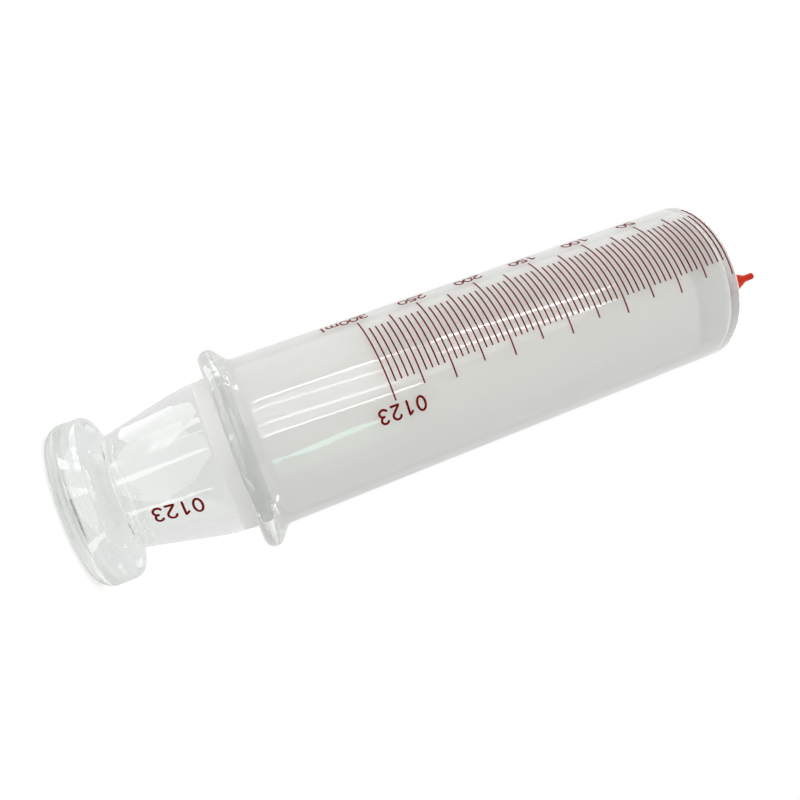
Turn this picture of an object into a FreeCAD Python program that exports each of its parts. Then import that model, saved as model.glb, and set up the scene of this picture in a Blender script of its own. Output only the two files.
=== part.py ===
import FreeCAD, Part
import os
from math import sin, tan, acos, pi

# All sizes are in millimetres. The syringe stands on the flat end of its knob, the common axis is +Z,
# the nozzle is at the top and the middle of the graduation faces -Y. The origin is the knob's centre.

# Barrel, its bore and its finger flange
BARREL_RADIUS = 30.0
BARREL_WALL = 3.07
BORE_RADIUS = BARREL_RADIUS - BARREL_WALL
MOUTH_HEIGHT = 53.3
MOUTH_ROUNDING = 1.2
FLANGE_WIDTH = 5.6
FLANGE_RADIUS = BARREL_RADIUS + FLANGE_WIDTH
FLANGE_THICKNESS = 5.0
FLANGE_BACK_RISE = 4.6
FLANGE_FRONT_ROUNDING = 3.5
FLANGE_BACK_ROUNDING = 2.6
FLANGE_ROOT_ROUNDING = 2.6
BARREL_END = 241.8
END_WALL = 3.5
BORE_END = BARREL_END - END_WALL
BORE_END_ROUNDING = 3.0
END_ROUNDING_ACROSS = 5.8
END_ROUNDING_ALONG = 3.0

# Nozzle, drawn out of the barrel's end to one side of the axis
NOZZLE_OFFSET = 7.5
NOZZLE_TIP_RADIUS = 2.0
NOZZLE_TAPER_PER_MM = 0.03
NOZZLE_LENGTH = 10.5
NOZZLE_TIP_ROUNDING = 0.4
NOZZLE_ROOT_RADIUS = 5.0
NOZZLE_ROOT_ROUNDING = 2.0
NOZZLE_ROOT_DEPTH = 1.5
NOZZLE_BORE_RADIUS = 1.0
NOZZLE_TIP = BARREL_END + NOZZLE_LENGTH
NOZZLE_BASE_RADIUS = NOZZLE_TIP_RADIUS + NOZZLE_TAPER_PER_MM * NOZZLE_LENGTH

# Soft cap on the nozzle: skirt, bell and tail
CAP_CLEARANCE = 0.06
CAP_GAP_TO_BARREL = 2.2
CAP_ROOM_OVER_NOZZLE = 0.4
CAP_SKIRT_RADIUS = 4.9
CAP_SKIRT_ROUNDING = 0.7
CAP_SKIRT_OVER_NOZZLE = 2.3
CAP_SHOULDER_ROUNDING = 6.0
CAP_BELL_LENGTH = 7.8
CAP_WAIST_ROUNDING = 3.0
CAP_TAIL_RADIUS = 1.3
CAP_TAIL_LENGTH = 3.8
CAP_TAIL_END_ROUNDING = 0.6
CAP_BOTTOM = BARREL_END + CAP_GAP_TO_BARREL
CAP_SHOULDER = NOZZLE_TIP + CAP_SKIRT_OVER_NOZZLE
CAP_WAIST = CAP_SHOULDER + CAP_BELL_LENGTH
CAP_TOP = CAP_WAIST + CAP_TAIL_LENGTH

# Ground cylinder of the plunger, a sliding fit in the bore
GROUND_CLEARANCE = 0.05
PLUNGER_RADIUS = BORE_RADIUS - GROUND_CLEARANCE
PLUNGER_TOP = 228.0
PLUNGER_TOP_ROUNDING = 5.0

# Knob and neck, blown in one with the ground cylinder
KNOB_RADIUS = 28.2
KNOB_HEIGHT = 13.3
KNOB_FOOT_ROUNDING = 5.1
KNOB_BACK_ROUNDING = 3.9
GROOVE_RADIUS = 19.7
GROOVE_HEIGHT = 16.0
GROOVE_ROUNDING = 0.8
CONE_RISE_PER_MM = 0.2408
SHOULDER_ROUNDING = 50.0

# Sealed hollow inside the plunger
PLUNGER_WALL = 2.6
PLUNGER_TOP_WALL = 3.2
NECK_WALL = 4.5
NECK_HOLLOW_RADIUS = GROOVE_RADIUS - NECK_WALL
KNOB_WALL = 7.8
KNOB_HOLLOW_RADIUS = KNOB_RADIUS - KNOB_WALL
KNOB_FLOOR = 4.6
KNOB_ROOF = 2.3
KNOB_HOLLOW_TOP = KNOB_HEIGHT - KNOB_ROOF
KNOB_HOLLOW_ROUNDING = 3.0

# Graduation: a line for every 5 ml, longer at every 25 ml and longest at every 50 ml
FULL_VOLUME = 300
LINE_VOLUME = 5
MIDDLE_VOLUME = 25
LONG_VOLUME = 50
CUBIC_MM_PER_ML = 1000.0
LINE_PITCH = LINE_VOLUME * CUBIC_MM_PER_ML / (pi * BORE_RADIUS ** 2)
SCALE_SETBACK = 2.8
SCALE_START = BARREL_END - SCALE_SETBACK
ZERO_LINE_SETBACK = 0.3
LINE_WIDTH = 0.5
LINE_THICKNESS = 0.1
SHORT_LINE_HALF_ANGLE = 21.7
MIDDLE_LINE_HALF_ANGLE = 29.1
LONG_LINE_HALF_ANGLE = 32.8
GRADUATION_DIRECTION = -90.0

FULL_TURN = 360.0
QUARTER_CURVE = 0.5523
SAME_POINT = 1e-6
AXIS = FreeCAD.Vector(0, 0, 1)


def point(radius, height, offset=0.0):
    """A point of a section, drawn in the plane Y = 0."""
    return FreeCAD.Vector(offset + radius, 0, height)


def rounded_edges(corners, offset=0.0):
    """Edges of a closed section. Each corner is (radius, height, rounding).

    A number rounds the corner with an arc of that radius. A pair rounds it with an elliptical
    quarter, set back by the first value on the way in and by the second on the way out.
    """
    starts, ends, curves = [], [], []
    count = len(corners)
    for index, (radius, height, rounding) in enumerate(corners):
        corner = point(radius, height, offset)
        before = point(*corners[index - 1][:2], offset) - corner
        after = point(*corners[(index + 1) % count][:2], offset) - corner
        before.normalize()
        after.normalize()
        if not rounding:
            starts.append(corner)
            ends.append(corner)
            curves.append(None)
            continue
        if isinstance(rounding, tuple):
            way_in, way_out = rounding
            first = corner + before * way_in
            last = corner + after * way_out
            poles = [first, first - before * (way_in * QUARTER_CURVE),
                     last - after * (way_out * QUARTER_CURVE), last]
            curve = Part.BezierCurve()
            curve.setPoles(poles)
        else:
            half_angle = acos(max(-1.0, min(1.0, before.dot(after)))) / 2
            set_back = rounding / tan(half_angle)
            first = corner + before * set_back
            last = corner + after * set_back
            bisector = before + after
            bisector.normalize()
            middle = corner + bisector * (rounding / sin(half_angle) - rounding)
            curve = Part.Arc(first, middle, last)
        starts.append(first)
        ends.append(last)
        curves.append(curve)
    edges = []
    for index in range(count):
        if curves[index] is not None:
            edges.append(curves[index].toShape())
        following = (index + 1) % count
        if (starts[following] - ends[index]).Length > SAME_POINT:
            edges.append(Part.makeLine(ends[index], starts[following]))
    return edges


def turned(corners, offset=0.0):
    """Solid turned from a section around a vertical axis at X = offset."""
    wire = Part.Wire(rounded_edges(corners, offset))
    solid = Part.Face(wire).revolve(FreeCAD.Vector(offset, 0, 0), AXIS, FULL_TURN)
    return solid if solid.ShapeType == "Solid" else Part.makeSolid(solid)


def barrel():
    """Barrel, finger flange and nozzle, blown and drawn as one piece of glass."""
    flange_back = MOUTH_HEIGHT + FLANGE_THICKNESS
    shell = turned([
        (BORE_RADIUS, MOUTH_HEIGHT, MOUTH_ROUNDING),
        (FLANGE_RADIUS, MOUTH_HEIGHT, FLANGE_FRONT_ROUNDING),
        (FLANGE_RADIUS, flange_back, FLANGE_BACK_ROUNDING),
        (BARREL_RADIUS, flange_back + FLANGE_BACK_RISE, FLANGE_ROOT_ROUNDING),
        (BARREL_RADIUS, BARREL_END, (END_ROUNDING_ALONG, END_ROUNDING_ACROSS)),
        (0, BARREL_END, 0),
        (0, BORE_END, 0),
        (BORE_RADIUS, BORE_END, BORE_END_ROUNDING),
    ])
    nozzle = turned([
        (0, BARREL_END - NOZZLE_ROOT_DEPTH, 0),
        (NOZZLE_ROOT_RADIUS, BARREL_END - NOZZLE_ROOT_DEPTH, 0),
        (NOZZLE_ROOT_RADIUS, BARREL_END, 0),
        (NOZZLE_BASE_RADIUS, BARREL_END, NOZZLE_ROOT_ROUNDING),
        (NOZZLE_TIP_RADIUS, NOZZLE_TIP, NOZZLE_TIP_ROUNDING),
        (0, NOZZLE_TIP, 0),
    ], NOZZLE_OFFSET)
    channel = Part.makeCylinder(
        NOZZLE_BORE_RADIUS, NOZZLE_TIP - BORE_END + 2 * NOZZLE_BORE_RADIUS,
        FreeCAD.Vector(NOZZLE_OFFSET, 0, BORE_END - NOZZLE_BORE_RADIUS), AXIS)
    return shell.fuse(nozzle).cut(channel).removeSplitter()


def cone_height(radius, start_radius, start_height):
    """Height at which the neck's cone reaches a radius."""
    return start_height + (radius - start_radius) / CONE_RISE_PER_MM


def plunger():
    """Hollow plunger: ground cylinder, clear neck and knob in one piece, sealed all round."""
    body = turned([
        (0, 0, 0),
        (KNOB_RADIUS, 0, KNOB_FOOT_ROUNDING),
        (KNOB_RADIUS, KNOB_HEIGHT, KNOB_BACK_ROUNDING),
        (GROOVE_RADIUS, GROOVE_HEIGHT, GROOVE_ROUNDING),
        (PLUNGER_RADIUS, cone_height(PLUNGER_RADIUS, GROOVE_RADIUS, GROOVE_HEIGHT), SHOULDER_ROUNDING),
        (PLUNGER_RADIUS, PLUNGER_TOP, PLUNGER_TOP_ROUNDING),
        (0, PLUNGER_TOP, 0),
    ])
    hollow_radius = PLUNGER_RADIUS - PLUNGER_WALL
    hollow = turned([
        (0, KNOB_FLOOR, 0),
        (KNOB_HOLLOW_RADIUS, KNOB_FLOOR, KNOB_HOLLOW_ROUNDING),
        (KNOB_HOLLOW_RADIUS, KNOB_HOLLOW_TOP, KNOB_HOLLOW_ROUNDING),
        (NECK_HOLLOW_RADIUS, GROOVE_HEIGHT, GROOVE_ROUNDING),
        (hollow_radius, cone_height(hollow_radius, NECK_HOLLOW_RADIUS, GROOVE_HEIGHT), SHOULDER_ROUNDING),
        (hollow_radius, PLUNGER_TOP - PLUNGER_TOP_WALL, PLUNGER_TOP_ROUNDING - PLUNGER_WALL),
        (0, PLUNGER_TOP - PLUNGER_TOP_WALL, 0),
    ])
    return body.cut(hollow)


def tip_cap():
    """Soft cap: a skirt over the nozzle, a bell and a thin tail to pull it by."""
    inside_base = NOZZLE_TIP_RADIUS + NOZZLE_TAPER_PER_MM * (NOZZLE_TIP - CAP_BOTTOM) + CAP_CLEARANCE
    inside_top = NOZZLE_TIP_RADIUS + CAP_CLEARANCE
    return turned([
        (inside_base, CAP_BOTTOM, 0),
        (CAP_SKIRT_RADIUS, CAP_BOTTOM, CAP_SKIRT_ROUNDING),
        (CAP_SKIRT_RADIUS, CAP_SHOULDER, CAP_SHOULDER_ROUNDING),
        (CAP_TAIL_RADIUS, CAP_WAIST, CAP_WAIST_ROUNDING),
        (CAP_TAIL_RADIUS, CAP_TOP, CAP_TAIL_END_ROUNDING),
        (0, CAP_TOP, 0),
        (0, NOZZLE_TIP + CAP_ROOM_OVER_NOZZLE, 0),
        (inside_top, NOZZLE_TIP + CAP_ROOM_OVER_NOZZLE, 0),
        (inside_top, NOZZLE_TIP, 0),
    ], NOZZLE_OFFSET)


def line_half_angle(volume):
    """Half the angle that the line of a volume covers."""
    if volume % LONG_VOLUME == 0:
        return LONG_LINE_HALF_ANGLE
    if volume % MIDDLE_VOLUME == 0:
        return MIDDLE_LINE_HALF_ANGLE
    return SHORT_LINE_HALF_ANGLE


def graduation():
    """Fired enamel lines, thin arcs that lie on the barrel's glass."""
    lines = []
    for volume in range(0, FULL_VOLUME + 1, LINE_VOLUME):
        height = SCALE_START - volume / LINE_VOLUME * LINE_PITCH
        if volume == 0:
            height = BARREL_END - END_ROUNDING_ALONG - ZERO_LINE_SETBACK
        half_angle = line_half_angle(volume)
        low, high = height - LINE_WIDTH / 2, height + LINE_WIDTH / 2
        outer = BARREL_RADIUS + LINE_THICKNESS
        section = Part.Face(Part.makePolygon([
            point(BARREL_RADIUS, low), point(outer, low),
            point(outer, high), point(BARREL_RADIUS, high), point(BARREL_RADIUS, low)]))
        section.rotate(FreeCAD.Vector(0, 0, 0), AXIS, GRADUATION_DIRECTION - half_angle)
        lines.append(section.revolve(FreeCAD.Vector(0, 0, 0), AXIS, 2 * half_angle))
    return Part.makeCompound(lines)


os.makedirs("parts", exist_ok=True)
for name, shape in (("barrel", barrel()), ("plunger", plunger()), ("tip_cap", tip_cap()),
                    ("graduation", graduation())):
    shape.exportStep("parts/" + name + ".step")
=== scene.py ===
from math import acos, atan2, ceil, cos, degrees, hypot, pi, radians, sin, tan
import bpy
from mathutils import Matrix, Vector

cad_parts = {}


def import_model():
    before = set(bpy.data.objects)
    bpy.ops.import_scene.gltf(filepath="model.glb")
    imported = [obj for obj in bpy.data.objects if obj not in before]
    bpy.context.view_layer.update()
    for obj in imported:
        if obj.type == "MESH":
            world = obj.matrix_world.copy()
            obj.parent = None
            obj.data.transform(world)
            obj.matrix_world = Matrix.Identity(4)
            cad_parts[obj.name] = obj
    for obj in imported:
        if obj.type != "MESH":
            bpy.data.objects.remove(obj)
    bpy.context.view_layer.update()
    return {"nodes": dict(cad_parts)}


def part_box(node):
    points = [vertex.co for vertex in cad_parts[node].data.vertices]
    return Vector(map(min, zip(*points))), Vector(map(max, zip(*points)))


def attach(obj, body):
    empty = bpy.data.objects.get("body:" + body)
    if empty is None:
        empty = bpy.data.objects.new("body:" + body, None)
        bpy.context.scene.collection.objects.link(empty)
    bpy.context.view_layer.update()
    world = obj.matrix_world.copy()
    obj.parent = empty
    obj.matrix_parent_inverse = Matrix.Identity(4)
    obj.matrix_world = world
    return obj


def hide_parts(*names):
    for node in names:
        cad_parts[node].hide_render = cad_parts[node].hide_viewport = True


# Lengths are in millimetres in this file and become metres where Blender takes them.
MM = 0.001

# Points closer together than this count as one.
SAME_POINT = 1e-6

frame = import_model()


def node_span(node):
    """Lowest height, highest height and largest width across Y of a CAD node, in millimetres."""
    low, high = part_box(node)
    return low[2] / MM, high[2] / MM, (high[1] - low[1]) / MM


MOUTH, NOZZLE_TIP, FLANGE_WIDTH = node_span("barrel")
KNOB_FACE, PLUNGER_TOP, KNOB_WIDTH = node_span("plunger")
CAP_BOTTOM, CAP_TOP, CAP_WIDTH = node_span("tip_cap")

# Barrel and its finger flange
BARREL_RADIUS = 30.0
BORE_RADIUS = 26.93
FLANGE_RADIUS = FLANGE_WIDTH / 2
FLANGE_THICKNESS = 5.0
FLANGE_BACK_RISE = 4.6
FLANGE_FRONT_ROUNDING = 3.5
FLANGE_BACK_ROUNDING = 2.6
FLANGE_ROOT_ROUNDING = 2.6
MOUTH_ROUNDING = 1.2

# The bore is ground from this height up and clear below it.
GROUND_MOUTH = 57.5

# The barrel's section starts and ends in the bore, this far above the mouth.
SEAM_RISE = 4.0
SEAM_STEP = 0.2

# End of the barrel, with a shoulder that is a quarter of an oval
NOZZLE_LENGTH = 10.5
BARREL_END = NOZZLE_TIP - NOZZLE_LENGTH
END_WALL = 3.5
SHOULDER_WIDTH = 5.8
SHOULDER_HEIGHT = 3.0
SHOULDER_STEPS = 12
LAST_RING_UNDER_SHOULDER = 3.0
BORE_END = BARREL_END - END_WALL
BORE_END_ROUNDING = 3.0

# Nozzle. The taper is the growth of its radius for each millimetre towards the foot.
NOZZLE_OFFSET = 7.5
NOZZLE_TAPER = 0.03
NOZZLE_TIP_RADIUS = 2.0
NOZZLE_BASE_RADIUS = NOZZLE_TIP_RADIUS + NOZZLE_TAPER * NOZZLE_LENGTH
NOZZLE_CHANNEL_RADIUS = 1.0
NOZZLE_FOOT_ROUNDING = 2.0
NOZZLE_LIP_ROUNDING = 0.4

# The nozzle's axis gives way to the barrel's across a ring of this width, on the end face and on the floor
# of the bore.
END_FACE_RING = 4.0
BORE_FLOOR_RING = 12.0

# Scale: millilitres and millimetres from one line to the next, and the height of its first line
LINE_VOLUME = 5
LINE_PITCH = 2.1945
SCALE_START = BARREL_END - 2.8

# Plunger. The spread is the growth of the neck's radius for each millimetre of height.
PLUNGER_CLEARANCE = 0.05
PLUNGER_RADIUS = BORE_RADIUS - PLUNGER_CLEARANCE
PLUNGER_TOP_ROUNDING = 5.0
KNOB_RADIUS = KNOB_WIDTH / 2
KNOB_HEIGHT = 13.3
KNOB_FACE_ROUNDING = 5.1
KNOB_BACK_ROUNDING = 3.9
GROOVE_RADIUS = 19.7
GROOVE_HEIGHT = 16.0
GROOVE_ROUNDING = 0.8
NECK_SPREAD = 0.2408
NECK_TOP_ROUNDING = 50.0

# The plunger is ground between these heights.
GROUND_FROM = 48.5
GROUND_TO = PLUNGER_TOP - 4.0

# Sealed hollow in the plunger
KNOB_WALL = 4.6
KNOB_HOLLOW_RADIUS = 20.4
KNOB_HOLLOW_TOP = 11.0
KNOB_HOLLOW_ROUNDING = 3.0
NECK_WALL = 4.5
PLUNGER_WALL = 2.6
PLUNGER_TOP_WALL = 3.2
HOLLOW_TOP_ROUNDING = 2.4

# Rings of points, one a millimetre, that carry the uneven inside of the neck
BLOWN_RINGS = range(6, 51)

# The unevenness fades out below this height, over this length.
BLOWN_TOP = 48.0
BLOWN_FADE = 20.0

# Waves of the uneven inside: depth, number round the hollow, turn for each millimetre of height, and start
BLOWN_WAVES = (
    (0.2, 2, 0.31, 0.0),
    (0.11, 5, -0.23, 1.0),
    (0.06, 11, 0.09, 2.0),
    (0.045, 23, 0.0, 0.4))

# Drawn rings of the uneven inside: depth, turn for each millimetre of height, how far they wander round the
# hollow, and where that starts
DRAWN_RING_DEPTH = 0.05
DRAWN_RING_TURN = 0.8
DRAWN_RING_WANDER = 2.5
DRAWN_RING_START = 1.0

# Cap
CAP_CLEARANCE = 0.06
CAP_AIR_GAP = 0.4
CAP_INSIDE_ROUNDING = 0.2
CAP_MOUTH_ROUNDING = 0.2
CAP_EDGE_ROUNDING = 0.7
CAP_SLEEVE_ABOVE_TIP = 2.3
CAP_SLEEVE_ROUNDING = 6.0
CAP_TAIL_ABOVE_TIP = 10.1
CAP_TAIL_RADIUS = 1.3
CAP_TAIL_ROUNDING = 3.0
CAP_END_ROUNDING = 0.6

# Printed figures. Their widths and pitches are shares of a figure's height.
FIGURE_HEIGHT = 4.7
FIGURE_WIDTH = 0.62
INK_THICKNESS = 0.06
INK_SUNK_IN = 0.01

# Pitch of the letters that are wider or narrower than a figure
PITCH_SHARE = {"m": 1.5, "l": 0.55}

# Volume figures. Angles start at -Y and grow towards +X.
FULL_VOLUME = 300
FIGURE_EVERY = 50
VOLUME_ANGLE = -42.0
VOLUME_STROKE = 0.7
VOLUME_PITCH = 0.745

# Number that pairs the barrel with its plunger, and its two places
PAIR_NUMBER = "0123"
NUMBER_STROKE = 0.8
BARREL_NUMBER_ANGLE = 40.1
BARREL_NUMBER_HEIGHT = 108.5
BARREL_NUMBER_PITCH = 0.93
NECK_NUMBER_ANGLE = 55.6
NECK_NUMBER_HEIGHT = 32.0
NECK_NUMBER_PITCH = 0.88

# Mesh fineness: points round a turned piece, degrees between the points of arcs and ovals, millimetres
# between the points of a stroke, and steps round its end
SEGMENTS = 192
ARC_STEP = 9.0
OVAL_STEP = 12
OVAL_FEWEST_STEPS = 6
STROKE_STEP = 0.4
STROKE_END_STEPS = 6

# Which faces are ground. In the barrel they lie between these radii, from beside the nozzle's channel to the
# wall of the bore. On the plunger they lie this close to the radius of its cylinder.
HAIR = 0.01
GROUND_FLOOR_FROM = NOZZLE_CHANNEL_RADIUS + 0.5
GROUND_WALL_TO = BORE_RADIUS + HAIR
CYLINDER_EDGE = 0.5

# Refractive indices
GLASS_IOR = 1.474
INK_IOR = 1.5
RUBBER_IOR = 1.41

# Floor, a little below the knob's face
FLOOR_HALF_WIDTH = 3000.0
FLOOR_GAP = 0.1

# Room. A tone of 1 is as bright as white paper. Its bright side is given as shares of forward and up.
BRIGHT_SIDE_FORWARD = 0.8
BRIGHT_SIDE_UP = 0.6
ROOM_DIM_SIDE = 0.82
ROOM_BRIGHT_SIDE = 1.15
DARKER_IN_REFLECTIONS = 0.24

# Lamps. Soft boxes stand round a centre near the flange, and strips lie just above the floor.
LAMP_DISTANCE = 900.0 * MM
LAMP_CENTRE = Vector((0, 0, 100.0)) * MM
STRIP_HEIGHT = 1.0 * MM

# The camera stands at the photograph's viewing angle, rolled so that the nozzle points up to the right.
CAMERA_PLACE = Vector((125.81, -244.80, 55.13)) * MM
CAMERA_FORWARD = Vector((-0.43491, 0.87493, 0.21295))
CAMERA_UP = Vector((-0.80474, -0.48376, 0.34405))
CAMERA_LENS = 35.17
CAMERA_SENSOR = 36.0
CAMERA_NEAREST = 5.0 * MM


# Sections and turned meshes

def arc(centre_radius, centre_height, radius, start, end):
    """Points of an arc, (radius, height), from one angle to another in degrees, 0 pointing outwards."""
    steps = max(2, int(abs(end - start) / ARC_STEP) + 1)
    points = []
    for step in range(steps + 1):
        angle = radians(start + (end - start) * step / steps)
        points.append((centre_radius + radius * cos(angle), centre_height + radius * sin(angle)))
    return points


def rounded(corners):
    """Points of an open section. Each corner is (radius, height, rounding), and the ends stay sharp."""
    points = []
    for index, (radius, height, rounding) in enumerate(corners):
        corner = Vector((radius, height))
        if not rounding or index in (0, len(corners) - 1):
            points.append((radius, height))
            continue
        before = (Vector(corners[index - 1][:2]) - corner).normalized()
        after = (Vector(corners[index + 1][:2]) - corner).normalized()
        half_angle = acos(max(-1.0, min(1.0, before.dot(after)))) / 2
        bisector = (before + after).normalized()
        centre = corner + bisector * (rounding / sin(half_angle))
        set_back = rounding / tan(half_angle)
        first = corner + before * set_back - centre
        last = corner + after * set_back - centre
        start = degrees(atan2(first.y, first.x))
        turn = (degrees(atan2(last.y, last.x)) - start + 180) % 360 - 180
        points += arc(centre.x, centre.y, rounding, start, start + turn)
    return points


def with_heights(points, heights):
    """The same section with a point added wherever it crosses one of the heights."""
    result = [points[0]]
    for (r0, z0), (r1, z1) in zip(points, points[1:]):
        crossed = [z for z in heights if min(z0, z1) + SAME_POINT < z < max(z0, z1) - SAME_POINT]
        for z in sorted(crossed, reverse=z1 < z0):
            result.append((r0 + (r1 - r0) * (z - z0) / (z1 - z0), z))
        result.append((r1, z1))
    return result


def shifted(points, shift):
    """The same section about an axis that lies off-centre towards +X."""
    return [(radius, height, shift) for radius, height in points]


def new_piece(name, points, faces, materials):
    """An object with a mesh of points in millimetres."""
    mesh = bpy.data.meshes.new(name)
    mesh.from_pydata([Vector(point) * MM for point in points], [], faces)
    for material in materials:
        mesh.materials.append(material)
    mesh.update()
    piece = bpy.data.objects.new(name, mesh)
    bpy.context.scene.collection.objects.link(piece)
    return piece


def turned_faces(low, low_count, high, high_count):
    """Faces between two rings of points, of which one may be a single point on the axis."""
    for segment in range(SEGMENTS):
        following = (segment + 1) % SEGMENTS
        if low_count == 1:
            yield low, high + following, high + segment
        elif high_count == 1:
            yield low + segment, low + following, high
        else:
            yield low + segment, low + following, high + following, high + segment


def turned_piece(name, section, materials, zone=None, wobble=None):
    """A piece turned from a section of (radius, height, shift), where shift is the axis's place along X.

    A section that starts and ends on the axis closes with a point there, and another closes into a ring.
    It runs with the material on its left, seen with the axis to the left and +Z up.
    zone(radius, height) gives the material's number, and wobble(height, angle) moves a point outwards.
    """
    points, faces, numbers, rings = [], [], [], []
    for radius, height, shift in section:
        on_axis = radius < SAME_POINT
        rings.append((len(points), 1 if on_axis else SEGMENTS, radius, height))
        if on_axis:
            points.append((shift, 0, height))
            continue
        for segment in range(SEGMENTS):
            angle = 2 * pi * segment / SEGMENTS
            reach = radius + (wobble(height, angle) if wobble else 0.0)
            points.append((shift + reach * cos(angle), reach * sin(angle), height))
    pairs = list(zip(rings, rings[1:]))
    starts_on_axis = rings[0][1] == 1
    if not starts_on_axis:
        pairs.append((rings[-1], rings[0]))
    for (low, low_count, low_radius, low_height), (high, high_count, high_radius, high_height) in pairs:
        number = zone((low_radius + high_radius) / 2, (low_height + high_height) / 2) if zone else 0
        faces += turned_faces(low, low_count, high, high_count)
        numbers += [number] * SEGMENTS
    piece = new_piece(name, points, faces, materials)
    piece.data.polygons.foreach_set("material_index", numbers)
    piece.data.polygons.foreach_set("use_smooth", [True] * len(faces))
    piece.data.update()
    return piece


def join(pieces):
    """Makes one object of several, in the first."""
    with bpy.context.temp_override(active_object=pieces[0], selected_editable_objects=pieces):
        bpy.ops.object.join()


# Materials

def linear(hex_colour):
    """Linear colour with alpha from an sRGB hex value."""
    channels = []
    for start in (1, 3, 5):
        value = int(hex_colour[start:start + 2], 16) / 255
        channels.append(value / 12.92 if value <= 0.04045 else ((value + 0.055) / 1.055) ** 2.4)
    return (*channels, 1.0)


WHITE = linear("#FFFFFF")


def add_node(tree, kind, settings=None, inputs=None):
    """Adds a node with its settings and its inputs. An input is a value or another node's output."""
    node = tree.nodes.new(kind)
    for key, value in (settings or {}).items():
        setattr(node, key, value)
    for key, value in (inputs or {}).items():
        if isinstance(value, bpy.types.NodeSocket):
            tree.links.new(value, node.inputs[key])
        else:
            node.inputs[key].default_value = value
    return node


def new_material(name):
    """An empty node material, its tree and its output."""
    material = bpy.data.materials.new(name)
    material.use_nodes = True
    material.node_tree.nodes.clear()
    output = add_node(material.node_tree, "ShaderNodeOutputMaterial")
    return material, material.node_tree, output


def lumps(tree, size, detail, roughness, stretch=(1, 1, 1)):
    """Pattern of soft lumps about size millimetres across, drawn out by stretch."""
    place = add_node(tree, "ShaderNodeTexCoord")
    scale = tuple(1.0 / (size * MM * factor) for factor in stretch)
    mapping = add_node(tree, "ShaderNodeMapping", None, {"Vector": place.outputs["Object"], "Scale": scale})
    return add_node(tree, "ShaderNodeTexNoise", None, {
        "Vector": mapping.outputs["Vector"], "Scale": 1.0, "Detail": detail, "Roughness": roughness})


# Light that is still inside the glass after this many bounces counts as trapped, and shows at this strength.
TRAPPED_AFTER = {"Glossy Depth": 4.5, "Diffuse Depth": 3.5, "Ray Depth": 12.5}
TRAPPED_STRENGTH = 0.9


def trapped_light(tree):
    """Strength of the light that is thrown about inside the glass for longer than the renderer follows it.

    In the real glass that light gets out after all, so it shows as the mean tone of the room.
    """
    path = add_node(tree, "ShaderNodeLightPath")
    trapped = 0.0
    for depth, limit in TRAPPED_AFTER.items():
        over = add_node(tree, "ShaderNodeMath", {"operation": "GREATER_THAN"}, {
            0: path.outputs[depth], 1: limit})
        either = add_node(tree, "ShaderNodeMath", {"operation": "MAXIMUM"}, {
            0: trapped, 1: over.outputs["Value"]})
        trapped = either.outputs["Value"]
    return add_node(tree, "ShaderNodeMath", {"operation": "MULTIPLY"}, {
        0: trapped, 1: TRAPPED_STRENGTH}).outputs["Value"]


def green_of_thickness(tree):
    """Glass takes a little red and blue out of light on its way, so thick rims look faintly green."""
    return add_node(tree, "ShaderNodeVolumeAbsorption", None, {
        "Color": linear("#CCD8CF"), "Density": 7.0}).outputs["Volume"]


def finish_glass(material, tree, output, surface):
    """Puts the surface and the green of thickness on a glass. Its faint glow isn't used as a lamp."""
    tree.links.new(surface.outputs["BSDF"], output.inputs["Surface"])
    tree.links.new(green_of_thickness(tree), output.inputs["Volume"])
    material.cycles.emission_sampling = "NONE"
    return material


# Drawn streaks are this strong on the neck and on the flange, and fade out over the start of the barrel.
NECK_STREAKS = 2.2
FLANGE_STREAKS = 6.0
NECK_STREAKS_END = 50.0
FLANGE_STREAKS_START = 54.0
FLANGE_STREAKS_END = 61.0
BARREL_START = 67.0


def clear_glass():
    """Borosilicate glass, flame polished: clear, colourless and glossy.

    Waves 9 mm across, drawn out along the axis, make highlights waver along the piece. Knob, neck and flange
    were worked by hand in the flame, which left streaks 3 mm across along the axis.
    """
    material, tree, output = new_material("borosilicate_flame_polished")
    waves = lumps(tree, 9.0, 1.0, 0.4, (1, 1, 5))
    streaks = lumps(tree, 3.2, 1.0, 0.4, (1, 1, 5))
    axis = add_node(tree, "ShaderNodeSeparateXYZ", None, {
        "Vector": add_node(tree, "ShaderNodeTexCoord").outputs["Object"]})
    neck_to_flange = add_node(tree, "ShaderNodeMapRange", {"interpolation_type": "SMOOTHSTEP"}, {
        "Value": axis.outputs["Z"], "From Min": NECK_STREAKS_END * MM, "From Max": FLANGE_STREAKS_START * MM,
        "To Min": NECK_STREAKS, "To Max": FLANGE_STREAKS})
    up_to_barrel = add_node(tree, "ShaderNodeMapRange", {"interpolation_type": "SMOOTHSTEP"}, {
        "Value": axis.outputs["Z"], "From Min": FLANGE_STREAKS_END * MM, "From Max": BARREL_START * MM,
        "To Min": 1.0, "To Max": 0.0})
    worked = add_node(tree, "ShaderNodeMath", {"operation": "MULTIPLY"}, {
        0: neck_to_flange.outputs["Result"], 1: up_to_barrel.outputs["Result"]})
    height = add_node(tree, "ShaderNodeMath", {"operation": "MULTIPLY_ADD"}, {
        0: streaks.outputs["Fac"], 1: worked.outputs["Value"], 2: waves.outputs["Fac"]})
    bump = add_node(tree, "ShaderNodeBump", None, {
        "Height": height.outputs["Value"], "Strength": 0.3, "Distance": 0.12 * MM})
    surface = add_node(tree, "ShaderNodeBsdfPrincipled", None, {
        "Base Color": linear("#FBFCFB"), "Roughness": 0.0, "IOR": GLASS_IOR,
        "Transmission Weight": 1.0, "Normal": bump.outputs["Normal"],
        "Emission Color": WHITE, "Emission Strength": trapped_light(tree)})
    return finish_glass(material, tree, output, surface)


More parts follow.
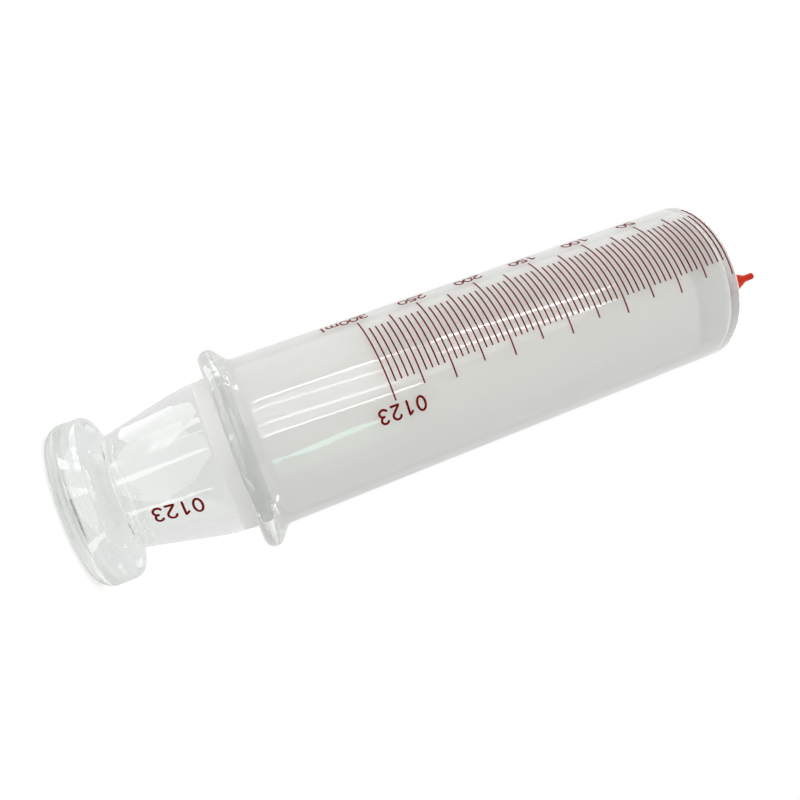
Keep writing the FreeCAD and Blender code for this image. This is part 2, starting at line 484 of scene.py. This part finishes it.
def ground_glass(name, share_through):
    """Borosilicate glass, ground with fine grit while it turned: a matt white face with faint rings.

    A share of the light passes through, and the rest is scattered. The pits of the grit are about 0.05 mm
    wide. They are drawn 0.35 mm wide and the rings 1.4 mm apart, so that both show.
    """
    material, tree, output = new_material(name)
    grit = lumps(tree, 0.35, 2.0, 0.6)
    rings = lumps(tree, 1.4, 1.0, 0.5, (12, 12, 1))
    both = add_node(tree, "ShaderNodeMath", {"operation": "ADD"}, {
        0: grit.outputs["Fac"], 1: rings.outputs["Fac"]})
    bump = add_node(tree, "ShaderNodeBump", None, {
        "Height": both.outputs["Value"], "Strength": 0.15, "Distance": 0.03 * MM})
    surface = add_node(tree, "ShaderNodeBsdfPrincipled", None, {
        "Base Color": linear("#FEFDFB"), "Roughness": 0.5, "IOR": GLASS_IOR,
        "Transmission Weight": share_through, "Normal": bump.outputs["Normal"],
        "Emission Color": WHITE, "Emission Strength": trapped_light(tree)})
    return finish_glass(material, tree, output, surface)


def fired_enamel(name, thick_colour, thin_colour):
    """Ceramic ink, screen printed and fired into the glass: dark red, nearly matt, a little thin in places.

    The thin places of real ink are finer than 0.2 mm. They are drawn 0.8 mm wide, so that they show.
    """
    material, tree, output = new_material(name)
    mottle = lumps(tree, 0.8, 3.0, 0.6)
    colour = add_node(tree, "ShaderNodeMix", {"data_type": "RGBA"}, {
        0: mottle.outputs["Fac"], 6: linear(thick_colour), 7: linear(thin_colour)})
    surface = add_node(tree, "ShaderNodeBsdfPrincipled", None, {
        "Base Color": colour.outputs[2], "Roughness": 0.7, "IOR": INK_IOR, "Specular IOR Level": 0.05})
    tree.links.new(surface.outputs["BSDF"], output.inputs["Surface"])
    return material


def moulded_rubber():
    """Silicone rubber, moulded: even orange red with a soft sheen and faint flow lines 1.2 mm apart."""
    material, tree, output = new_material("silicone_rubber_moulded")
    flow = lumps(tree, 1.2, 2.0, 0.5, (1, 1, 3))
    colour = add_node(tree, "ShaderNodeMix", {"data_type": "RGBA"}, {
        0: flow.outputs["Fac"], 6: linear("#C62407"), 7: linear("#D4340C")})
    bump = add_node(tree, "ShaderNodeBump", None, {
        "Height": flow.outputs["Fac"], "Strength": 0.2, "Distance": 0.05 * MM})
    surface = add_node(tree, "ShaderNodeBsdfPrincipled", None, {
        "Base Color": colour.outputs[2], "Roughness": 0.5, "IOR": RUBBER_IOR, "Specular IOR Level": 0.15,
        "Normal": bump.outputs["Normal"]})
    tree.links.new(surface.outputs["BSDF"], output.inputs["Surface"])
    return material


CLEAR = clear_glass()
GROUND_BORE = ground_glass("borosilicate_ground_bore", 0.15)
GROUND_PLUNGER = ground_glass("borosilicate_ground_plunger", 0.3)
SCALE_INK = fired_enamel("fired_ceramic_ink_scale", "#640401", "#7A0702")
NUMBER_INK = fired_enamel("fired_ceramic_ink_number", "#680603", "#7A0906")
RUBBER = moulded_rubber()


# Barrel

def barrel_outside():
    """Section from the seam in the bore, round the mouth and the flange, and up the wall."""
    back = MOUTH + FLANGE_THICKNESS
    return rounded([
        (BORE_RADIUS, MOUTH + SEAM_RISE, 0),
        (BORE_RADIUS, MOUTH, MOUTH_ROUNDING),
        (FLANGE_RADIUS, MOUTH, FLANGE_FRONT_ROUNDING),
        (FLANGE_RADIUS, back, FLANGE_BACK_ROUNDING),
        (BARREL_RADIUS, back + FLANGE_BACK_RISE, FLANGE_ROOT_ROUNDING),
        (BARREL_RADIUS, BARREL_END - SHOULDER_HEIGHT - LAST_RING_UNDER_SHOULDER, 0)])


def barrel_shoulder():
    """Section of the oval shoulder between the wall and the end face."""
    points = []
    for step in range(SHOULDER_STEPS + 1):
        angle = radians(90 * step / SHOULDER_STEPS)
        points.append((BARREL_RADIUS - SHOULDER_WIDTH * (1 - cos(angle)),
                       BARREL_END - SHOULDER_HEIGHT * (1 - sin(angle))))
    return points


def nozzle():
    """Section of the nozzle about its own axis: up its outside and down its channel."""
    return rounded([
        (NOZZLE_BASE_RADIUS + END_FACE_RING, BARREL_END, 0),
        (NOZZLE_BASE_RADIUS, BARREL_END, NOZZLE_FOOT_ROUNDING),
        (NOZZLE_TIP_RADIUS, NOZZLE_TIP, NOZZLE_LIP_ROUNDING),
        (NOZZLE_CHANNEL_RADIUS, NOZZLE_TIP, 0),
        (NOZZLE_CHANNEL_RADIUS, BORE_END, 0)])


def bore():
    """Section of the bore, from its floor down to the seam above the mouth."""
    points = rounded([
        (NOZZLE_CHANNEL_RADIUS + BORE_FLOOR_RING, BORE_END, 0),
        (BORE_RADIUS, BORE_END, BORE_END_ROUNDING),
        (BORE_RADIUS, MOUTH + SEAM_RISE + SEAM_STEP, 0)])
    return with_heights(points, [GROUND_MOUTH])


def barrel_piece():
    """Barrel, flange and nozzle in one closed skin of glass, ground inside."""
    on_centre = shifted(barrel_outside() + barrel_shoulder(), 0.0)
    section = on_centre + shifted(nozzle(), NOZZLE_OFFSET) + shifted(bore(), 0.0)

    def zone(radius, height):
        in_bore = GROUND_FLOOR_FROM < radius < GROUND_WALL_TO
        return 1 if in_bore and GROUND_MOUTH < height < BORE_END + HAIR else 0

    piece = turned_piece("barrel_glass", section, [CLEAR, GROUND_BORE], zone)
    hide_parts("barrel")
    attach(piece, "barrel_body")


# Plunger

def neck_height(radius, start_radius):
    """Height at which the neck reaches a radius, where it starts from another at the groove."""
    return GROOVE_HEIGHT + (radius - start_radius) / NECK_SPREAD


def plunger_skin():
    """Section of the plunger's outside: knob, groove, neck and ground cylinder."""
    points = rounded([
        (0, KNOB_FACE, 0),
        (KNOB_RADIUS, KNOB_FACE, KNOB_FACE_ROUNDING),
        (KNOB_RADIUS, KNOB_HEIGHT, KNOB_BACK_ROUNDING),
        (GROOVE_RADIUS, GROOVE_HEIGHT, GROOVE_ROUNDING),
        (PLUNGER_RADIUS, neck_height(PLUNGER_RADIUS, GROOVE_RADIUS), NECK_TOP_ROUNDING),
        (PLUNGER_RADIUS, PLUNGER_TOP, PLUNGER_TOP_ROUNDING),
        (0, PLUNGER_TOP, 0)])
    return with_heights(points, [GROUND_FROM])


def plunger_hollow():
    """Section of the sealed hollow, which follows the outside at the thickness of the wall."""
    neck_radius = GROOVE_RADIUS - NECK_WALL
    radius = PLUNGER_RADIUS - PLUNGER_WALL
    top = PLUNGER_TOP - PLUNGER_TOP_WALL
    points = rounded([
        (0, KNOB_WALL, 0),
        (KNOB_HOLLOW_RADIUS, KNOB_WALL, KNOB_HOLLOW_ROUNDING),
        (KNOB_HOLLOW_RADIUS, KNOB_HOLLOW_TOP, KNOB_HOLLOW_ROUNDING),
        (neck_radius, GROOVE_HEIGHT, GROOVE_ROUNDING),
        (radius, neck_height(radius, neck_radius), NECK_TOP_ROUNDING),
        (radius, top, HOLLOW_TOP_ROUNDING),
        (0, top, 0)])
    return with_heights(points, BLOWN_RINGS)


def blown(height, angle):
    """Uneven inside of the hollow, where the glass was blown and drawn by hand."""
    if height >= BLOWN_TOP:
        return 0.0
    fade = min(1.0, (BLOWN_TOP - height) / BLOWN_FADE)
    waves = sum(depth * sin(count * angle + turn * height + start)
                for depth, count, turn, start in BLOWN_WAVES)
    wander = DRAWN_RING_WANDER * sin(angle + DRAWN_RING_START)
    return fade * (waves + DRAWN_RING_DEPTH * sin(DRAWN_RING_TURN * height + wander))


def plunger_piece():
    """Plunger with its knob and neck: an outer skin of glass and the sealed hollow in it."""
    def zone(radius, height):
        on_cylinder = abs(radius - PLUNGER_RADIUS) < CYLINDER_EDGE
        return 1 if on_cylinder and GROUND_FROM < height < GROUND_TO else 0

    outer = turned_piece("plunger_glass", shifted(plunger_skin(), 0.0), [CLEAR, GROUND_PLUNGER], zone)
    inner = turned_piece("plunger_hollow", shifted(plunger_hollow()[::-1], 0.0), [CLEAR], wobble=blown)
    join([outer, inner])
    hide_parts("plunger")
    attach(outer, "plunger_body")


# Cap

def cap_piece():
    """Soft cap over the nozzle: a sleeve that narrows to a thin tail with a round end."""
    inside = NOZZLE_TIP_RADIUS + CAP_CLEARANCE
    inside_mouth = NOZZLE_TIP_RADIUS + NOZZLE_TAPER * (NOZZLE_TIP - CAP_BOTTOM) + CAP_CLEARANCE
    section = rounded([
        (0, NOZZLE_TIP + CAP_AIR_GAP, 0),
        (inside, NOZZLE_TIP + CAP_AIR_GAP, CAP_INSIDE_ROUNDING),
        (inside, NOZZLE_TIP, 0),
        (inside_mouth, CAP_BOTTOM, CAP_MOUTH_ROUNDING),
        (CAP_WIDTH / 2, CAP_BOTTOM, CAP_EDGE_ROUNDING),
        (CAP_WIDTH / 2, NOZZLE_TIP + CAP_SLEEVE_ABOVE_TIP, CAP_SLEEVE_ROUNDING),
        (CAP_TAIL_RADIUS, NOZZLE_TIP + CAP_TAIL_ABOVE_TIP, CAP_TAIL_ROUNDING),
        (CAP_TAIL_RADIUS, CAP_TOP, CAP_END_ROUNDING),
        (0, CAP_TOP, 0)])
    piece = turned_piece("rubber_cap", shifted(section, NOZZLE_OFFSET), [RUBBER])
    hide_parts("tip_cap")
    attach(piece, "cap_body")


# Print

def oval(centre_x, centre_y, half_width, half_height, start, end):
    """Points of an oval stroke from one angle to another, in degrees."""
    steps = max(OVAL_FEWEST_STEPS, int(abs(end - start) / OVAL_STEP))
    points = []
    for step in range(steps + 1):
        angle = radians(start + (end - start) * step / steps)
        points.append((centre_x + half_width * cos(angle), centre_y + half_height * sin(angle)))
    return points


# Width and strokes of each figure in a box one high, from the left foot
FIGURES = {
    "0": (FIGURE_WIDTH, [oval(0.31, 0.5, 0.29, 0.5, 90, 450)]),
    "1": (FIGURE_WIDTH, [[(0.12, 0.80), (0.36, 1.0), (0.36, 0.0)]]),
    "2": (FIGURE_WIDTH, [oval(0.31, 0.71, 0.28, 0.29, 165, -30) + [(0.03, 0.0), (0.60, 0.0)]]),
    "3": (FIGURE_WIDTH, [oval(0.30, 0.745, 0.25, 0.255, 150, -90),
                         oval(0.30, 0.255, 0.29, 0.255, 90, -150)]),
    "5": (FIGURE_WIDTH, [[(0.55, 1.0), (0.13, 1.0), (0.08, 0.56)]
                         + oval(0.30, 0.33, 0.29, 0.33, 125, -150)]),
    "m": (0.95, [[(0.06, 0.70), (0.06, 0.0)],
                 oval(0.26, 0.48, 0.20, 0.22, 180, 0) + [(0.46, 0.0)],
                 oval(0.66, 0.48, 0.20, 0.22, 180, 0) + [(0.86, 0.0)]]),
    "l": (0.30, [[(0.15, 1.0), (0.15, 0.0)]]),
}


def text_strokes(words, pitch):
    """Strokes of a text in millimetres from its middle. A unit after its figures isn't centred with them."""
    advances = [pitch * PITCH_SHARE.get(letter, 1.0) for letter in words]
    figures = sum(letter.isdigit() for letter in words)
    start = -sum(advances[:figures]) / 2
    for letter, advance in zip(words, advances):
        width, strokes = FIGURES[letter]
        indent = start + (advance - width) / 2
        start += advance
        for stroke in strokes:
            yield [((x + indent) * FIGURE_HEIGHT, (y - 0.5) * FIGURE_HEIGHT) for x, y in stroke]


def evened(points, step):
    """The same line with points at most one step apart."""
    result = [points[0]]
    for (x0, y0), (x1, y1) in zip(points, points[1:]):
        count = max(1, ceil(hypot(x1 - x0, y1 - y0) / step))
        for number in range(1, count + 1):
            result.append((x0 + (x1 - x0) * number / count, y0 + (y1 - y0) * number / count))
    return result


def sides(points, width):
    """Left and right side of a drawn stroke."""
    left, right = [], []
    for index, (x, y) in enumerate(points):
        x0, y0 = points[max(index - 1, 0)]
        x1, y1 = points[min(index + 1, len(points) - 1)]
        length = hypot(x1 - x0, y1 - y0)
        across = (-(y1 - y0) / length * width / 2, (x1 - x0) / length * width / 2)
        left.append((x + across[0], y + across[1]))
        right.append((x - across[0], y - across[1]))
    return left, right


def round_end(start, end):
    """Points of a half circle from one side of a stroke to the other, clockwise."""
    middle = ((start[0] + end[0]) / 2, (start[1] + end[1]) / 2)
    radius = hypot(start[0] - end[0], start[1] - end[1]) / 2
    first = atan2(start[1] - middle[1], start[0] - middle[0])
    points = []
    for step in range(1, STROKE_END_STEPS):
        angle = first - pi * step / STROKE_END_STEPS
        points.append((middle[0] + radius * cos(angle), middle[1] + radius * sin(angle)))
    return points


def stroke_outline(points, width):
    """Outline of a drawn stroke: along its left side, round, back along its right side, and round."""
    left, right = sides(points, width)
    return left + round_end(left[-1], right[-1]) + right[::-1] + round_end(right[0], left[0])


def stroke_faces(base, length, count):
    """Faces of a stroke's top and sides, where length is its points along and count those of its outline.

    The outline of its top starts at point base, and the outline of its underside follows.
    """
    last = length - 1
    faces = []
    for index in range(last):
        other = count - STROKE_END_STEPS - index
        faces.append((base + index, base + index + 1, base + other - 1, base + other))
    faces.append(tuple(base + index for index in range(last, last + STROKE_END_STEPS + 1)))
    faces.append(tuple(base + index for index in range(count - STROKE_END_STEPS, count)) + (base,))
    for index in range(count):
        following = (index + 1) % count
        faces.append((base + index, base + count + index, base + count + following, base + following))
    return faces


def printed(name, texts, surface, body, ink, stroke, pitch):
    """Figures printed on a turned surface. Each text is (words, angle, height of its middle).

    They read towards the knob with their tops towards +X. surface(height) gives the radius there.
    """
    points, faces = [], []
    for words, angle, middle in texts:
        for drawn in text_strokes(words, pitch):
            line = evened(drawn, STROKE_STEP)
            outline = stroke_outline(line, stroke)
            faces += stroke_faces(len(points), len(line), len(outline))
            for lift in (INK_THICKNESS, -INK_SUNK_IN):
                for along, upward in outline:
                    level = middle - along
                    radius = surface(level) + lift
                    turn = radians(angle) + upward / surface(level)
                    points.append((radius * sin(turn), -radius * cos(turn), level))
    piece = new_piece(name, points, faces, [ink])
    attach(piece, body)


def barrel_surface(level):
    """Radius of the barrel, the same at every height."""
    return BARREL_RADIUS


def neck_surface(level):
    """Radius of the plunger's neck at a height."""
    return GROOVE_RADIUS + (level - GROOVE_HEIGHT) * NECK_SPREAD


def volume_figures():
    """Figures at the end of every tenth line of the scale, the last with its unit."""
    texts = []
    for volume in range(FIGURE_EVERY, FULL_VOLUME + 1, FIGURE_EVERY):
        words = f"{volume}ml" if volume == FULL_VOLUME else str(volume)
        texts.append((words, VOLUME_ANGLE, SCALE_START - volume / LINE_VOLUME * LINE_PITCH))
    printed("volume_figures", texts, barrel_surface, "barrel_body", SCALE_INK, VOLUME_STROKE, VOLUME_PITCH)


def pair_numbers():
    """The number that pairs the barrel with its plunger, on both."""
    on_barrel = [(PAIR_NUMBER, BARREL_NUMBER_ANGLE, BARREL_NUMBER_HEIGHT)]
    on_neck = [(PAIR_NUMBER, NECK_NUMBER_ANGLE, NECK_NUMBER_HEIGHT)]
    printed("pair_number_barrel", on_barrel, barrel_surface, "barrel_body",
            NUMBER_INK, NUMBER_STROKE, BARREL_NUMBER_PITCH)
    printed("pair_number_plunger", on_neck, neck_surface, "plunger_body",
            NUMBER_INK, NUMBER_STROKE, NECK_NUMBER_PITCH)


# Floor and room

def floor_material():
    """White card, uncoated: matt, with the soft shadow of the syringe.

    The camera sees it a little brighter than it is lit. Seen through glass it is a plain pale tone.
    """
    material, tree, output = new_material("white_card")
    card = add_node(tree, "ShaderNodeBsdfDiffuse", None, {"Color": linear("#F2F2F0")})
    glow = add_node(tree, "ShaderNodeEmission", None, {"Color": WHITE, "Strength": 0.4})
    lifted = add_node(tree, "ShaderNodeAddShader", None, {0: card.outputs[0], 1: glow.outputs[0]})
    plain = add_node(tree, "ShaderNodeEmission", None, {"Color": WHITE, "Strength": 0.8})
    path = add_node(tree, "ShaderNodeLightPath")
    seen = add_node(tree, "ShaderNodeMixShader", None, {
        0: path.outputs["Is Camera Ray"], 1: card.outputs[0], 2: lifted.outputs[0]})
    mix = add_node(tree, "ShaderNodeMixShader", None, {
        0: path.outputs["Is Transmission Ray"], 1: seen.outputs[0], 2: plain.outputs[0]})
    tree.links.new(mix.outputs[0], output.inputs["Surface"])
    return material


def floor():
    """Large card that the syringe stands on."""
    corners = []
    for x, y in ((-1, -1), (1, -1), (1, 1), (-1, 1)):
        corners.append((x * FLOOR_HALF_WIDTH, y * FLOOR_HALF_WIDTH, -FLOOR_GAP))
    new_piece("floor", corners, [(0, 1, 2, 3)], [floor_material()])


def facing(tree, direction, start, end, start_tone, end_tone, blend="LINEAR"):
    """Tone of the room that goes from one value to another towards a direction.

    start and end are cosines of the angle to that direction, 1 straight at it and -1 straight away.
    """
    place = add_node(tree, "ShaderNodeTexCoord")
    towards = add_node(tree, "ShaderNodeVectorMath", {"operation": "DOT_PRODUCT"}, {
        0: place.outputs["Generated"], 1: direction.normalized()})
    tone = add_node(tree, "ShaderNodeMapRange", {"interpolation_type": blend}, {
        "Value": towards.outputs["Value"], "From Min": start, "From Max": end,
        "To Min": start_tone, "To Max": end_tone})
    return tone.outputs["Result"]


def world():
    """White for the camera. For everything else a room that is bright behind and above the syringe.

    Straight above the barrel's end the room is dark, which draws the crescent on that end. What lies behind
    the syringe is darker in reflections, which keeps the edges of the barrel crisp.
    """
    studio = bpy.data.worlds.new("studio")
    bpy.context.scene.world = studio
    studio.use_nodes = True
    tree = studio.node_tree
    tree.nodes.clear()
    output = add_node(tree, "ShaderNodeOutputWorld")
    path = add_node(tree, "ShaderNodeLightPath")
    bright_side = CAMERA_FORWARD * BRIGHT_SIDE_FORWARD + CAMERA_UP * BRIGHT_SIDE_UP
    grade = facing(tree, bright_side, start=-1.0, end=1.0,
                   start_tone=ROOM_DIM_SIDE, end_tone=ROOM_BRIGHT_SIDE)
    above = facing(tree, Vector((0, 0, 1)), start=0.95, end=0.99,
                   start_tone=1.0, end_tone=0.0, blend="SMOOTHSTEP")
    behind_tone = add_node(tree, "ShaderNodeMath", {"operation": "MULTIPLY_ADD"}, {
        0: path.outputs["Is Glossy Ray"], 1: -DARKER_IN_REFLECTIONS, 2: 1.0})
    behind = facing(tree, CAMERA_FORWARD, start=0.7, end=0.97,
                    start_tone=1.0, end_tone=behind_tone.outputs["Value"], blend="SMOOTHSTEP")
    without_behind = add_node(tree, "ShaderNodeMath", {"operation": "MULTIPLY"}, {0: grade, 1: above})
    tone = add_node(tree, "ShaderNodeMath", {"operation": "MULTIPLY"}, {
        0: without_behind.outputs["Value"], 1: behind})
    room = add_node(tree, "ShaderNodeBackground", None, {"Color": WHITE, "Strength": tone.outputs["Value"]})
    white = add_node(tree, "ShaderNodeBackground", None, {"Color": WHITE, "Strength": 1.0})
    mix = add_node(tree, "ShaderNodeMixShader", None, {
        0: path.outputs["Is Camera Ray"], 1: room.outputs[0], 2: white.outputs[0]})
    tree.links.new(mix.outputs[0], output.inputs["Surface"])


# Lamps

def lamp(name, width, height, radiance, tint, place, lights):
    """Rectangular lamp. A radiance of 1 is as bright as white paper. Width and height are in metres.

    Unless it lights the syringe, it only shows in reflections.
    """
    light = bpy.data.lights.new(name, "AREA")
    light.shape = "RECTANGLE"
    light.size = width
    light.size_y = height
    light.energy = radiance * pi * light.size * light.size_y
    light.color = linear(tint)[:3]
    stand = bpy.data.objects.new(name, light)
    stand.matrix_world = place
    stand.visible_camera = False
    stand.visible_diffuse = lights
    stand.visible_transmission = lights
    bpy.context.scene.collection.objects.link(stand)


def soft_box(name, azimuth, elevation, width, height, radiance, roll=0.0, tint="#FFFFFF", lights=False):
    """Soft box whose direction, width and height are in degrees, seen from the syringe.

    Azimuth 0 is in front, at -Y, and 90 at +X.
    """
    across = radians(azimuth)
    up = radians(elevation)
    direction = Vector((sin(across) * cos(up), -cos(across) * cos(up), sin(up)))
    aim = (-direction).to_track_quat("-Z", "Y").to_matrix().to_4x4()
    turn = aim @ Matrix.Rotation(radians(roll), 4, "Z")
    place = Matrix.Translation(LAMP_CENTRE + direction * LAMP_DISTANCE) @ turn
    wide = 2 * LAMP_DISTANCE * tan(radians(width) / 2)
    high = 2 * LAMP_DISTANCE * tan(radians(height) / 2)
    lamp(name, wide, high, radiance, tint, place, lights)


def floor_strip(name, azimuth, near, far, width, radiance):
    """Strip lamp lying on the floor and pointing away from the knob.

    near and far are its distances from the axis and width its width, in millimetres.
    """
    across = radians(azimuth)
    outward = Vector((sin(across), -cos(across), 0))
    sideways = outward.cross(Vector((0, 0, 1)))
    turn = Matrix((-sideways, outward, Vector((0, 0, -1)))).transposed().to_4x4()
    middle = outward * (near + far) / 2 * MM + Vector((0, 0, STRIP_HEIGHT))
    lamp(name, width * MM, (far - near) * MM, radiance, "#FFFFFF", Matrix.Translation(middle) @ turn, False)


# Azimuth, elevation, width, height, radiance and roll of the window and of the bright bars in it, which the
# barrel mirrors
WINDOW = {
    "window": (2, 15, 42, 36, 1.9, 0),
    "window_edge_low": (-22, 9, 2.0, 20, 13.0, -22),
    "window_edge_high": (-11, 27, 2.4, 20, 18.0, -42),
    "window_bar_high": (8, 27, 2.6, 20, 10.0, -45),
    "window_bar_left": (-9.5, 8, 2.2, 18, 5.0, -36),
    "window_bar_middle": (12, 9, 2.6, 18, 5.0, -36),
    "window_bar_right": (25.5, 9, 2.0, 19, 10.0, -24),
}

# Azimuth, nearest and farthest distance, width and radiance of the strips that the knob and the neck mirror
FLOOR_STRIPS = {
    "low_left": (-17, 36, 260, 9, 6.0),
    "low_middle": (11, 36, 260, 9, 6.0),
    "low_fill": (6, 44, 260, 130, 2.0),
    "low_side": (64, 36, 160, 8, 4.0),
    "low_card": (-56, 70, 320, 130, 2.6),
    "low_card_near": (-32, 78, 320, 40, 4.4),
    "low_card_edge": (-16, 82, 320, 12, 3.0),
}


def lamps():
    """One broad lamp that lights the syringe, and the bright things of the room that its glass mirrors."""
    soft_box("key", -62, 28, 50, 50, 0.38, lights=True)
    for name, values in WINDOW.items():
        soft_box(name, *values)
    soft_box("green_pane", 57, 9, 6.0, 9, 6.5, 35, "#A8ECD0")
    soft_box("green_sheen", 71, 8, 20, 14, 0.7, 0, "#C8F5E4")
    soft_box("overhead_strip", -153, 56, 60, 3, 8.0)
    for name, values in FLOOR_STRIPS.items():
        floor_strip(name, *values)


# Camera

def camera():
    """Camera at the photograph's viewing angle."""
    data = bpy.data.cameras.new("camera")
    data.lens = CAMERA_LENS
    data.sensor_width = CAMERA_SENSOR
    data.clip_start = CAMERA_NEAREST
    eye = bpy.data.objects.new("camera", data)
    forward = CAMERA_FORWARD.normalized()
    right = forward.cross(CAMERA_UP).normalized()
    up = right.cross(forward)
    turn = Matrix((right, up, -forward)).transposed()
    eye.matrix_world = Matrix.Translation(CAMERA_PLACE) @ turn.to_4x4()
    bpy.context.scene.collection.objects.link(eye)
    bpy.context.scene.camera = eye


# The whole scene

camera()
barrel_piece()
plunger_piece()
cap_piece()
volume_figures()
pair_numbers()
# The lines of the scale stay the CAD's own, in the colour of the print.
frame["nodes"]["graduation"].data.materials[0] = SCALE_INK
floor()
world()
lamps()
bpy.context.scene.view_settings.view_transform = "Standard"
